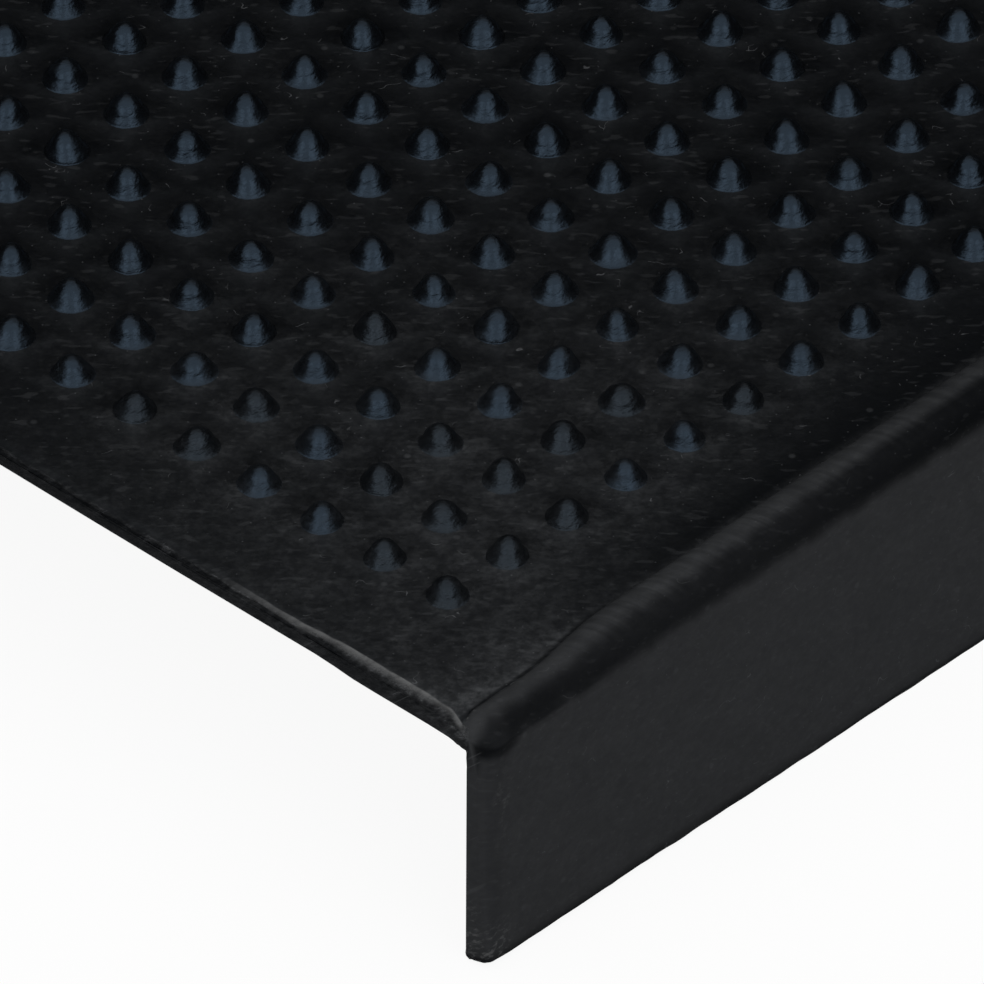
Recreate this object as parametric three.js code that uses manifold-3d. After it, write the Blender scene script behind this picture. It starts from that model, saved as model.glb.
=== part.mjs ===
// Anti slip stair tread mat, moulded in one piece of black rubber.
// A flat plate lies on the tread, a round bead runs along its nosing, and a lip hangs
// down over the stair's front edge. Pointed studs stand on the plate in a square grid.
//
// Millimetres. The origin is the centre of the plate's underside, where it lies on the
// tread. +X runs along the stair, +Y from the nosing to the back, and +Z is up.

import * as THREE from 'three';
import { mergeVertices } from 'three/addons/utils/BufferGeometryUtils.js';
import Module from 'manifold-3d';

// Overall size of the mat seen from above
const LENGTH = 600;
const WIDTH = 250;

// Plate and hanging lip
const PLATE_THICKNESS = 3;
const LIP_THICKNESS = 3.6;
const LIP_DROP = 32;

// Round bead along the nosing
const BEAD_RADIUS = 3.6;
const BEAD_RISE = 1.8;
const BEAD_END_LENGTH = 4;

// Roundings of the moulded edges
const NOSING_RADIUS = 2.4;
const BACK_EDGE_RADIUS = 1.2;
const LIP_FOOT_RADIUS = 1.2;
const INNER_FILLET = 1.5;
const END_ROUND = 0.8;

// Studs, and the bare margins around them
const STUD_PITCH = 10;
const STUD_DIAMETER = 4.9;
const STUD_HEIGHT = 2.9;
const STUD_SIDES = 3;
const SIDE_MARGIN = 15;
const FRONT_MARGIN = 20.8;
const BACK_MARGIN = 15;

// How finely the round forms are divided
const ARC_SEGMENTS = 4;
const END_SEGMENTS = 2;
const BEAD_SIDES = 24;
const BEAD_END_SEGMENTS = 5;

// Depth that a stud's foot reaches into the plate
const ROOT = 0.5;

// Points closer than this are one, and a row may miss its last stud's place by this share
const SAME_POINT = 1e-4;
const SAME_PLACE = 1e-6;

// Places that follow from the sizes
const SEAT_DEPTH = WIDTH - LIP_THICKNESS;
const BACK_Y = SEAT_DEPTH / 2;
const RISER_Y = -SEAT_DEPTH / 2;
const FRONT_Y = RISER_Y - LIP_THICKNESS;
const BEAD_Y = FRONT_Y + BEAD_RADIUS;
const BEAD_Z = PLATE_THICKNESS + BEAD_RISE - BEAD_RADIUS;
const STAIR_ROOM_SIZE = 2 * (BEAD_RADIUS + LIP_DROP + SEAT_DEPTH);

const wasm = await Module();
wasm.setup();

// Solids and meshes

function solidOf(geometry) {
  const bare = geometry.clone();
  bare.deleteAttribute('normal');
  bare.deleteAttribute('uv');
  const merged = mergeVertices(bare, SAME_POINT);
  return new wasm.Manifold(new wasm.Mesh({
    numProp: 3,
    vertProperties: new Float32Array(merged.attributes.position.array),
    triVerts: new Uint32Array(merged.index.array),
  }));
}

function geometryOf(solid) {
  const mesh = solid.getMesh();
  const geometry = new THREE.BufferGeometry();
  geometry.setAttribute('position', new THREE.BufferAttribute(mesh.vertProperties, 3));
  geometry.setIndex(new THREE.BufferAttribute(mesh.triVerts, 1));
  geometry.computeVertexNormals();
  return geometry;
}

// Turns a shape drawn in (Y, Z) and extruded along its normal so that it runs along X
function alongX(geometry) {
  const turn = new THREE.Matrix4().makeBasis(
    new THREE.Vector3(0, 1, 0),
    new THREE.Vector3(0, 0, 1),
    new THREE.Vector3(1, 0, 0),
  );
  return geometry.applyMatrix4(turn);
}

// Plate and lip

// One quarter turn around a centre, from one angle to another, in degrees
function roundCorner(shape, y, z, radius, from, to) {
  const start = THREE.MathUtils.degToRad(from);
  const end = THREE.MathUtils.degToRad(to);
  shape.absarc(y, z, radius, start, end, to < from);
}

// The L-shaped section across the mat, counterclockwise from the lip's foot
function mouldedSection() {
  const foot = LIP_FOOT_RADIUS;
  const back = BACK_EDGE_RADIUS;
  const nose = NOSING_RADIUS;
  const shape = new THREE.Shape();
  shape.moveTo(FRONT_Y + foot, -LIP_DROP);
  roundCorner(shape, RISER_Y - foot, -LIP_DROP + foot, foot, -90, 0);
  roundCorner(shape, RISER_Y + INNER_FILLET, -INNER_FILLET, INNER_FILLET, 180, 90);
  shape.lineTo(BACK_Y, 0);
  roundCorner(shape, BACK_Y - back, PLATE_THICKNESS - back, back, 0, 90);
  roundCorner(shape, FRONT_Y + nose, PLATE_THICKNESS - nose, nose, 90, 180);
  roundCorner(shape, FRONT_Y + foot, -LIP_DROP + foot, foot, 180, 270);
  return shape;
}

function plateAndLip() {
  const depth = LENGTH - 2 * END_ROUND;
  const geometry = new THREE.ExtrudeGeometry(mouldedSection(), {
    depth,
    curveSegments: ARC_SEGMENTS,
    bevelEnabled: true,
    bevelThickness: END_ROUND,
    bevelSize: END_ROUND,
    bevelOffset: -END_ROUND,
    bevelSegments: END_SEGMENTS,
  });
  geometry.translate(0, 0, -depth / 2);
  return solidOf(alongX(geometry));
}

// Nosing bead

// Half of the bead's outline: a round end, the straight run and the other round end
function beadOutline() {
  const straight = LENGTH / 2 - BEAD_END_LENGTH;
  const points = [];
  for (let step = 0; step <= BEAD_END_SEGMENTS; step += 1) {
    const angle = (step / BEAD_END_SEGMENTS) * (Math.PI / 2);
    const radius = step === 0 ? 0 : BEAD_RADIUS * Math.sin(angle);
    points.push(new THREE.Vector2(radius, -straight - BEAD_END_LENGTH * Math.cos(angle)));
  }
  const otherEnd = points.map((point) => new THREE.Vector2(point.x, -point.y));
  return points.concat(otherEnd.reverse());
}

// The room that the stair's edge takes up, under the plate and behind the lip
function stairRoom() {
  const size = STAIR_ROOM_SIZE;
  const box = new THREE.BoxGeometry(LENGTH + size, size, size);
  box.translate(0, RISER_Y + size / 2, -size / 2);
  return solidOf(box);
}

function nosingBead() {
  const bead = new THREE.LatheGeometry(beadOutline(), BEAD_SIDES);
  bead.rotateZ(-Math.PI / 2);
  bead.translate(0, BEAD_Y, BEAD_Z);
  return solidOf(bead).subtract(stairRoom());
}

// Studs

// Places from first to last, a pitch apart, centred between them if asked
function placesAlong(first, last, centred) {
  const count = Math.floor((last - first) / STUD_PITCH + SAME_PLACE) + 1;
  const spare = last - first - (count - 1) * STUD_PITCH;
  const start = first + (centred ? spare / 2 : 0);
  return Array.from({ length: count }, (_, index) => start + index * STUD_PITCH);
}

// A pyramid whose foot covers as much of the plate as a round stud's
function studGeometry() {
  const turn = (2 * Math.PI) / STUD_SIDES;
  const roundArea = Math.PI * (STUD_DIAMETER / 2) ** 2;
  const footRadius = Math.sqrt((2 * roundArea) / (STUD_SIDES * Math.sin(turn)));
  const height = STUD_HEIGHT + ROOT;
  const radius = (footRadius * height) / STUD_HEIGHT;
  const stud = new THREE.ConeGeometry(radius, height, STUD_SIDES);
  stud.rotateX(Math.PI / 2);
  stud.translate(0, 0, PLATE_THICKNESS - ROOT + height / 2);
  return stud;
}

function studs() {
  const columns = placesAlong(-LENGTH / 2 + SIDE_MARGIN, LENGTH / 2 - SIDE_MARGIN, true);
  const rows = placesAlong(FRONT_Y + FRONT_MARGIN, BACK_Y - BACK_MARGIN, false);
  const stud = solidOf(studGeometry());
  const placed = [];
  for (const x of columns) {
    for (const y of rows) {
      placed.push(stud.translate([x, y, 0]));
    }
  }
  return wasm.Manifold.union(placed);
}

// The whole mat

function treadMat() {
  const rubber = new THREE.MeshStandardMaterial({
    color: 0x1d1f22,
    roughness: 0.55,
    metalness: 0,
  });
  const solid = plateAndLip().add(nosingBead()).add(studs());
  const mesh = new THREE.Mesh(geometryOf(solid), rubber);
  mesh.name = 'tread_mat';
  return mesh;
}

const mat = new THREE.Group();
mat.add(treadMat());

export default mat;
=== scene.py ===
"""Black rubber stair tread mat with studs, seen at its front left corner.

The mat is one closed mesh. A square cell around each stud makes the field, and the
nosing, lip, underside and margins are swept along X and laid onto a distance function.
Sizes are in millimetres, and the meshes are scaled to metres when they are made.
A pair named as a span holds the places or values between which something comes or goes.
"""
import math

import bmesh
import bpy
import numpy as np
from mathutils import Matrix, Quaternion, Vector, geometry


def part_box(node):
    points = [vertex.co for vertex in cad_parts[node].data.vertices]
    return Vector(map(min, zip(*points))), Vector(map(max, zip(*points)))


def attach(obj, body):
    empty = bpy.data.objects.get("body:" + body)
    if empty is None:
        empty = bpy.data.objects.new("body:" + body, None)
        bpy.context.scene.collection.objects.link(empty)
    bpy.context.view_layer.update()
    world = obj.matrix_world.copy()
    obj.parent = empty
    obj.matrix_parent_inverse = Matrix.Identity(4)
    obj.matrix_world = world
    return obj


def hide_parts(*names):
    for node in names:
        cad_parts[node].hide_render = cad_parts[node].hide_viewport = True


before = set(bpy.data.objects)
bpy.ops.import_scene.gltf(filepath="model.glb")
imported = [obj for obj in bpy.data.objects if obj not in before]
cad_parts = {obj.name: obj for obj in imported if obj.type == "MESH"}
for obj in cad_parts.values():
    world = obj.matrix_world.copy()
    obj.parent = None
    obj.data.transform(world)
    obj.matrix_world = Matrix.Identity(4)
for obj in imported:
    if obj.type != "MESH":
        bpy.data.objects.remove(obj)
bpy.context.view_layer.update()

METRES = 0.001

# Outer faces of the mat, from the frame
LOW, HIGH = (np.array(corner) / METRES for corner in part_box("tread_mat"))
LEFT, RIGHT = LOW[0], HIGH[0]
FRONT, BACK = LOW[1], HIGH[1]
FOOT, STUD_TOP = LOW[2], HIGH[2]

# Sections of the moulding
PLATE_TOP = 3.0
LIP_THICKNESS = 3.8
BEAD_RADIUS = 3.6
BEAD_RISE = 1.8
TOP_EDGE_RADIUS = 0.8
UNDER_EDGE_RADIUS = 0.3
LIP_FRONT_RADIUS = 2.0
LIP_LOW_RADIUS = 0.8
LIP_TAPER_SPAN = (18.0, 30.0)
LIP_BACK_RADIUS = 0.08
LIP_FOOT_RADIUS = 0.2
INNER_BLEND = 0.15
BEAD_BLEND = 0.2
PLATE_MIDDLE = PLATE_TOP / 2
RISER = FRONT + LIP_THICKNESS
LIP_MIDDLE = FRONT + LIP_THICKNESS / 2
BEAD_Y = FRONT + BEAD_RADIUS
BEAD_Z = PLATE_TOP + BEAD_RISE - BEAD_RADIUS
CREASE_Y = BEAD_Y + math.sqrt(BEAD_RADIUS ** 2 - (PLATE_TOP - BEAD_Z) ** 2)
LIP_TOP = BEAD_Z + 1

# Studs: rounded domes with a small flare at the foot, divided finely near the corner
PITCH = 10.0
SIDE_MARGIN = 15.0
FRONT_MARGIN = 20.8
BACK_MARGIN = 15.0
STUD_SHIFT = 0.5
STUD_RADIUS = 2.3
STUD_HEIGHT = 2.72
STUD_FLARE = 0.45
FLARE_SHARE = 0.3
DOME_TAPER = 0.06
FINE_REACH = 150.0
FINE_STUD = (20, (0.0, 0.08, 0.24, 0.48, 0.72, 0.9, 0.98))
PLAIN_STUD = (12, (0.0, 0.2, 0.62, 0.93))
SAME_PLACE = 1e-6
SEED = 11

# How far the studs differ, and how worn and dull they are near the corner
LEAN = 0.12
WIDTH_SPREAD = 0.03
HEIGHT_SPREAD = 0.035
HEIGHT_LIMITS = (-0.1, 0.066)
OVAL_SPREAD = 0.03
DENT_SPREAD = 0.014
RING_SPREAD = 0.02
WORN_SHARE = 0.09
WORN_SPAN = (25.0, 110.0)
GLOSSY_SHARE = 0.12
GLOSSY_SPAN = (34.0, 95.0)

COLUMNS = int((RIGHT - LEFT - 2 * SIDE_MARGIN) / PITCH + SAME_PLACE) + 1
ROWS = int((BACK - FRONT - FRONT_MARGIN - BACK_MARGIN) / PITCH + SAME_PLACE) + 1
GRID_X = LEFT + SIDE_MARGIN + STUD_SHIFT - PITCH / 2 + PITCH * np.arange(COLUMNS + 1)
GRID_Y = FRONT + FRONT_MARGIN + STUD_SHIFT - PITCH / 2 + PITCH * np.arange(ROWS + 1)

# The bead's end at the photographed corner, where it shrinks to a ball
BALL_RADIUS = 2.8
BALL_FORWARD = 0.2
BALL_DROP = 0.6
BALL_SPAN = (LEFT + 10.0, LEFT + 26.0)
BALL_LIP_DROP = 0.8
BALL_CREASE_SHIFT = 1.8
BALL_CUT_LEVEL = 1.0
BALL_LOW_CUT = RISER - 0.3
BALL_HIGH_CUT = CREASE_Y - 2.2

# The rim of the plate's end at that corner, which is lifted above and hangs below
RIM_LIFT = 0.6
RIM_START_SPAN = (FRONT + 4.8, FRONT + 7.2)
RIM_END_SPAN = (FRONT + 24, FRONT + 31)
RIM_REACH = 8.0
RIM_WORN_RADIUS = 0.75
END_DROP = 0.75
END_DROP_SPAN = (FRONT + 4.6, FRONT + 6.6)
RIM_SAG = 0.5
SAG_FRONT_SPAN = (FRONT + 4, FRONT + 8)
SAG_BACK_SPAN = (FRONT + 20, FRONT + 28)
LONG_SAG = 0.28
LONG_SAG_SPAN = (FRONT + 50, FRONT + 90)
SAG_REACH_SPAN = (LEFT + 1, LEFT + RIM_REACH)

# The lip's foot, which rises and slants towards that corner and has lost its tip
FOOT_RISE = 1.2
FOOT_RISE_LENGTH = 80.0
FOOT_RISE_BEND = 0.01
FOOT_SLANT = 1.2
FOOT_SLANT_SPAN = (LEFT + 1, LEFT + 14)
CHIP = 0.85

# The line below the upper edge where the plate's ends were trimmed
GROOVE_DROP = 0.95
GROOVE_WIDTH = 0.22
GROOVE_DEPTH = 0.28
GROOVE_EVEN_SHARE = 0.7
GROOVE_SPAN = (FRONT + 20, FRONT + 30)

# Notches behind the bead's crest, and how far the plate's ends stand back
NOTCH_DEPTH = 0.07
NOTCH_SPAN = (0.5, 1.4)
NOTCH_START = BEAD_Y + 1
END_SETBACK = 0.14
END_SETBACK_REACH = 2.5
END_SETBACK_LEVEL = 0.8
END_WAVE_SHIFT = 40

# Uneven lines: how far each strays, the lengths of its waves, and its seed
END_WAVES = (0.12, (23.0, 9.0, 4.3), SEED + 1)
FOOT_WAVES = (0.06, (31.0, 13.0, 5.7), SEED + 3)
GROOVE_HEIGHT_WAVES = (0.16, (37.0, 11.0, 5.3), SEED + 5)
GROOVE_WIDTH_WAVES = (0.08, (17.0, 7.1), SEED + 6)
GROOVE_DEPTH_WAVES = (0.3, (9.0, 4.1), SEED + 7)
NOTCH_WAVES = (1.0, (8.3, 5.1, 3.1), SEED + 8)
CROWN_WAVES = (0.16, (7.3, 4.1, 2.3), SEED + 9)
FACE_WAVES = (0.22, (9.1, 5.7, 3.9), SEED + 10)
WEAR_SEED = SEED + 12


# Small functions of place

def smooth(value, start, end):
    """0 before start, 1 after end, and a smooth step between them."""
    t = np.clip((value - start) / (end - start), 0, 1)
    return t * t * (3 - 2 * t)


def fade(value, start, end):
    """1 before start, 0 after end, and a smooth step between them."""
    return 1 - smooth(value, start, end)


def ripple(place, waves):
    """A wavy line around 0, made of sines of several lengths."""
    size, lengths, seed = waves
    phases = np.random.default_rng(seed).uniform(0, 2 * math.pi, len(lengths))
    sines = [np.sin(2 * math.pi * place / w + p) for w, p in zip(lengths, phases)]
    return size * (np.sum(sines, axis=0) / math.sqrt(len(lengths)))


def corner_share(y):
    """1 along the plate's end between the bead and the first studs, and 0 elsewhere."""
    return smooth(y, *RIM_START_SPAN) * fade(y, *RIM_END_SPAN)


def rim_lift(x, y):
    """How far the plate's end is lifted, next to the photographed corner."""
    drop = END_DROP * fade(y, *END_DROP_SPAN)
    return (RIM_LIFT * corner_share(y) - drop) * fade(x, LEFT, LEFT + RIM_REACH)


def rim_sag(x, y):
    """How far the plate's underside hangs down at the same place."""
    near = RIM_SAG * (2 - smooth(y, *SAG_BACK_SPAN) - smooth(y, *SAG_FRONT_SPAN))
    sag = near + LONG_SAG * fade(y, *LONG_SAG_SPAN)
    return sag * fade(x, *SAG_REACH_SPAN)


def ball_share(x):
    """1 where the bead is as thin as its ball end, and 0 where it is whole."""
    return fade(x, *BALL_SPAN)


def crease_at(x):
    """Where the plate meets the bead."""
    return CREASE_Y - BALL_CREASE_SHIFT * ball_share(x)


def foot_level(x, y):
    """The lip's foot, which rises and slants towards the photographed end."""
    near = 1 - (x - LEFT) / FOOT_RISE_LENGTH
    rise = FOOT_RISE * (near + np.sqrt(near ** 2 + FOOT_RISE_BEND)) / 2
    slant = FOOT_SLANT * fade(x, *FOOT_SLANT_SPAN)
    return FOOT + rise - slant * (y - FRONT) / LIP_THICKNESS + ripple(x, FOOT_WAVES)


# Distance functions of the moulding, negative inside

def box_distance(q, radius):
    """From how far a point lies beyond a box's faces to its distance, with round edges."""
    q = q + np.reshape(radius, (-1, 1))
    return np.linalg.norm(np.maximum(q, 0), axis=1) + np.minimum(q.max(axis=1), 0) - radius


def plate_distance(p):
    """The plate, whose rim is bent at the corner and whose ends have a groove."""
    x, y, z = p.T
    under = -rim_sag(x, y)
    top = PLATE_TOP + rim_lift(x, y)
    level = (z - under) * PLATE_TOP / (top - under)
    upper = TOP_EDGE_RADIUS + (RIM_WORN_RADIUS - TOP_EDGE_RADIUS) * corner_share(y) * (x < 0)
    radius = np.where(level > PLATE_MIDDLE, upper, UNDER_EDGE_RADIUS)
    cut = np.where(z < BALL_CUT_LEVEL, BALL_LOW_CUT, BALL_HIGH_CUT)
    start = LIP_MIDDLE + (cut - LIP_MIDDLE) * ball_share(x)
    beyond = np.column_stack([
        np.abs(x) - RIGHT,
        np.maximum(start - y, y - BACK),
        np.abs(level - PLATE_MIDDLE) - PLATE_MIDDLE,
    ])
    return np.maximum(box_distance(beyond, radius), -end_groove(x, y, level))


def end_groove(x, y, level):
    """A thin wavy line below the upper edge, left where the plate's end was trimmed."""
    height = PLATE_TOP - GROOVE_DROP + ripple(y, GROOVE_HEIGHT_WAVES)
    width = GROOVE_WIDTH + ripple(y, GROOVE_WIDTH_WAVES)
    deepest = GROOVE_DEPTH * smooth(y, *GROOVE_SPAN)
    bottom = RIGHT - deepest * (GROOVE_EVEN_SHARE + ripple(y, GROOVE_DEPTH_WAVES))
    return np.maximum(np.abs(level - height) - width / 2, bottom - np.abs(x))


def lip_distance(p):
    """The hanging lip, whose front edge gets sharper and whose low corner is chipped."""
    x, y, z = p.T
    taper = smooth(-z, *LIP_TAPER_SPAN)
    front = LIP_FRONT_RADIUS + (LIP_LOW_RADIUS - LIP_FRONT_RADIUS) * taper
    radius = np.where(y < LIP_MIDDLE, front, LIP_BACK_RADIUS)
    beyond = np.column_stack([np.abs(x) - RIGHT, np.abs(y - LIP_MIDDLE) - LIP_THICKNESS / 2])
    upright = box_distance(beyond, radius)
    top = LIP_TOP - BALL_LIP_DROP * ball_share(x)
    ends = np.maximum(foot_level(x, y) - z, z - top)
    corner = np.column_stack([upright, ends])
    chip = ((LEFT - x) + (FRONT - y) + (FOOT + FOOT_RISE - z) + CHIP) / math.sqrt(3)
    return np.maximum(box_distance(corner, np.full(len(p), LIP_FOOT_RADIUS)), chip)


def bead_distance(p):
    """The round bead, notched behind its crest, with round ends."""
    x, y, z = p.T
    ball = ball_share(x)
    radius = BEAD_RADIUS + (BALL_RADIUS - BEAD_RADIUS) * ball
    notch = NOTCH_DEPTH * smooth(ripple(x, NOTCH_WAVES), *NOTCH_SPAN) * (y > NOTCH_START)
    beyond = np.maximum(np.abs(x) - (RIGHT - radius), 0)
    across = y - (BEAD_Y - BALL_FORWARD * ball)
    above = z - (BEAD_Z - BALL_DROP * ball)
    return np.sqrt(beyond ** 2 + across ** 2 + above ** 2) - radius + notch


def blend_union(a, b, width):
    """Two forms as one, with a fillet of about this width between them."""
    h = np.clip(0.5 + 0.5 * (b - a) / width, 0, 1)
    return b + (a - b) * h - width * h * (1 - h)


def mat_distance(p):
    """The whole moulding apart from its studs, clear of the stair's edge."""
    stair_room = np.maximum(RISER - p[:, 1], p[:, 2])
    bead = np.maximum(bead_distance(p), -stair_room)
    moulding = blend_union(plate_distance(p), lip_distance(p), INNER_BLEND)
    return blend_union(moulding, bead, BEAD_BLEND)


RAY_REACH = 8.0
RAY_HALVINGS = 26


def cast(origin, direction):
    """Where rays from inside the mat leave it."""
    near = np.zeros(len(origin))
    far = np.full(len(origin), RAY_REACH)
    for _ in range(RAY_HALVINGS):
        middle = (near + far) / 2
        inside = mat_distance(origin + direction * middle[:, None]) < 0
        near = np.where(inside, middle, near)
        far = np.where(inside, far, middle)
    return origin + direction * far[:, None]


def shaped(points):
    """Small unevenness of the moulded edges, kept inside the mat's box."""
    x, y, z = points.T.copy()
    near_end = fade(-np.abs(x), -RIGHT, -RIGHT + END_SETBACK_REACH)
    high = smooth(z, END_SETBACK_LEVEL, PLATE_TOP)
    wave = ripple(y + END_WAVE_SHIFT * np.sign(x), END_WAVES)
    x = x - np.sign(x) * near_end * high * (END_SETBACK + wave)
    limits = (np.array([LEFT, FRONT, FOOT]), np.array([RIGHT, BACK, STUD_TOP]))
    return np.clip(np.column_stack([x, y, z]), *limits)


# The section's samples: where each ray starts, which way it goes in the section, and how
# far from the mat's end the rays stop marching along X and fan out instead

PLATE_FAN = 1.4
BEAD_FAN = BEAD_RADIUS
UP, BACKWARDS, FORWARDS, DOWN = 90, 0, 180, -90

CREASE_GAPS = (7.5, 5.0, 3.4, 2.2, 1.3)
CROWN_GAP = 0.8
CROWN_SAMPLES = 17
CROWN_FAN_SPAN = (0.2, 1)
BEAD_ANGLES = range(98, 173, 8)
BEAD_TO_LIP = ((0.4, 0.3), (0.6, 0.9), (0.77, 1.7), (0.9, 2.7), (1.0, 4.7))
LIP_FRONT_LEVELS = (-7.0, -12.0, -18.0, -24.0, FOOT + 5.0, FOOT + 3.4, FOOT + 2.5)
FOOT_CENTRE = FOOT + FOOT_RISE + 0.8
FOOT_ANGLES = (205, 215, 220, 225, 235, 247, 260, 275, 292, 308, 320, 332, 345)
LIP_BACK_LEVELS = (FOOT + 4.0, -20.0, -10.0, -4.0)
INNER_CORNER = (RISER - 0.5, 0.55)
INNER_ANGLES = (-80, -72, -64, -56, -48, -38, -27)
RISER_GAPS = range(3, 30, 3)
UNDER_PLACES = (-88.0, -78.0, -64.0, -50.0, -36.0, -22.0, -8.0, 25.0, 60.0, 95.0, BACK - 4)
BACK_ANGLES = (-88, -60, -46, -30, 0, 25, 38, 50, 65, 88)
BACK_PLACES = (BACK - 4, BACK - 9)


def sample(y, z, degrees, fan=PLATE_FAN):
    """A ray of the section. 0 degrees points to the back, and 90 degrees up."""
    angle = math.radians(degrees)
    return (y, z, math.cos(angle), math.sin(angle), fan)


def front_samples():
    """From the plate in front of the studs, over the bead and down to the lip's foot."""
    samples = [sample(CREASE_Y + gap, PLATE_MIDDLE, UP) for gap in CREASE_GAPS]
    for share in np.linspace(0, 1, CROWN_SAMPLES):
        y = CREASE_Y + CROWN_GAP + (BEAD_Y - CREASE_Y - CROWN_GAP) * share
        z = PLATE_MIDDLE + (BEAD_Z - PLATE_MIDDLE) * share
        fan = PLATE_FAN + (BEAD_FAN - PLATE_FAN) * smooth(share, *CROWN_FAN_SPAN)
        samples.append(sample(y, z, UP, fan))
    samples += [sample(BEAD_Y, BEAD_Z, angle, BEAD_FAN) for angle in BEAD_ANGLES]
    for share, drop in BEAD_TO_LIP:
        y = BEAD_Y + (LIP_MIDDLE - BEAD_Y) * share
        fan = BEAD_FAN + (PLATE_FAN - BEAD_FAN) * share
        samples.append(sample(y, BEAD_Z - drop, FORWARDS, fan))
    return samples + [sample(LIP_MIDDLE, z, FORWARDS) for z in LIP_FRONT_LEVELS]


def under_samples():
    """Round the lip's foot, up its back and along the underside to the back edge."""
    samples = [sample(LIP_MIDDLE, FOOT_CENTRE, angle) for angle in FOOT_ANGLES]
    samples += [sample(LIP_MIDDLE, z, BACKWARDS) for z in LIP_BACK_LEVELS]
    samples += [sample(*INNER_CORNER, angle) for angle in INNER_ANGLES]
    samples += [sample(RISER + gap, PLATE_MIDDLE, DOWN) for gap in RISER_GAPS]
    return samples + [sample(y, PLATE_MIDDLE, DOWN) for y in UNDER_PLACES]


def back_samples():
    """Round the back edge and onto the plate behind the studs."""
    samples = [sample(BACK - PLATE_MIDDLE, PLATE_MIDDLE, angle) for angle in BACK_ANGLES]
    return samples + [sample(y, PLATE_MIDDLE, UP) for y in BACK_PLACES]


# How the sweep along X and the strips at the plate's ends are divided

SWEEP_FINE_LENGTH, SWEEP_FINE_STEP = 80, 1.5
SWEEP_FAR_LENGTH, SWEEP_FAR_STEP = 60, 3.0
STRIP_FINE_LENGTH, STRIP_FINE_STEP = 60, 1.5
STRIP_MIDDLE_LENGTH, STRIP_MIDDLE_STEP = 125, 2.5
STRIP_FAR_STEP = 5.0
LAST_STEP_LEAST = 1
FAN_ANGLES = (14, 26, 33, 38, 42, 46, 50, 54, 57, 60, 63, 66, 71, 78, 85)
END_SHARES = (0.2, 0.4, 0.6, 0.75, 0.88, 1.0)


def sweep_places():
    """Places along X between the first and last cell, finest at the photographed end."""
    left, right = GRID_X[0], GRID_X[-1]
    near, far = left + SWEEP_FINE_LENGTH, right - SWEEP_FAR_LENGTH
    fine = np.arange(left, near, SWEEP_FINE_STEP)
    middle = np.arange(near, far, PITCH)
    other = np.arange(far, right - LAST_STEP_LEAST, SWEEP_FAR_STEP)
    return np.concatenate([fine, middle, other, [right]])


def strip_places():
    """Where the plate's end strips are divided, finely beside the photographed corner."""
    front, back = GRID_Y[0], GRID_Y[-1]
    fine = np.arange(front, front + STRIP_FINE_LENGTH, STRIP_FINE_STEP)
    middle = np.arange(fine[-1] + STRIP_MIDDLE_STEP, front + STRIP_MIDDLE_LENGTH,
                       STRIP_MIDDLE_STEP)
    coarse = np.arange(middle[-1] + STRIP_FAR_STEP, back - LAST_STEP_LEAST, STRIP_FAR_STEP)
    return np.concatenate([fine, middle, coarse, [back]])


# Mesh parts are collected as points and faces, and points that meet are merged

PLATE_SURFACE, STUD_SURFACE, NOSING_SURFACE, END_SURFACE, DULL_STUD_SURFACE = range(5)
MERGE_DIGITS = 4


class Patchwork:
    def __init__(self):
        self.points = []
        self.faces = []
        self.kinds = []
        self.count = 0

    def add_points(self, points):
        start = self.count
        self.points.append(np.asarray(points, float))
        self.count += len(points)
        return np.arange(start, self.count)

    def add_faces(self, faces, kind=PLATE_SURFACE):
        self.faces += [tuple(face) for face in faces]
        self.kinds += [kind] * len(faces)

    def merged(self):
        points = np.concatenate(self.points)
        _, first, where = np.unique(
            np.round(points, MERGE_DIGITS), axis=0, return_index=True, return_inverse=True
        )
        where = where.ravel().tolist()
        faces, kinds = [], []
        for face, kind in zip(self.faces, self.kinds):
            corners = list(dict.fromkeys(where[i] for i in face))
            if len(corners) > 2:
                faces.append(corners)
                kinds.append(kind)
        return points[first], faces, kinds


def stitch(a, b, places_a, places_b):
    """Triangles between two rows that are divided differently."""
    faces = []
    i = j = 0
    while i < len(a) - 1 or j < len(b) - 1:
        next_a = places_a[i + 1] if i < len(a) - 1 else math.inf
        next_b = places_b[j + 1] if j < len(b) - 1 else math.inf
        if next_a <= next_b:
            faces.append((a[i], b[j], a[i + 1]))
            i += 1
        else:
            faces.append((a[i], b[j], b[j + 1]))
            j += 1
    return faces


def add_strip(work, row_a, row_b, closed=False):
    """Faces between two rows that have as many points."""
    count = len(row_a)
    for k in range(count if closed else count - 1):
        after = (k + 1) % count
        work.add_faces([(row_a[k], row_b[k], row_b[after], row_a[after])])


# The stud field

def dome(rise):
    """A stud's radius at a share of its height, as a share of its greatest radius."""
    return (1 - rise ** 2) ** 0.5 * (1 - DOME_TAPER * rise)


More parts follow.
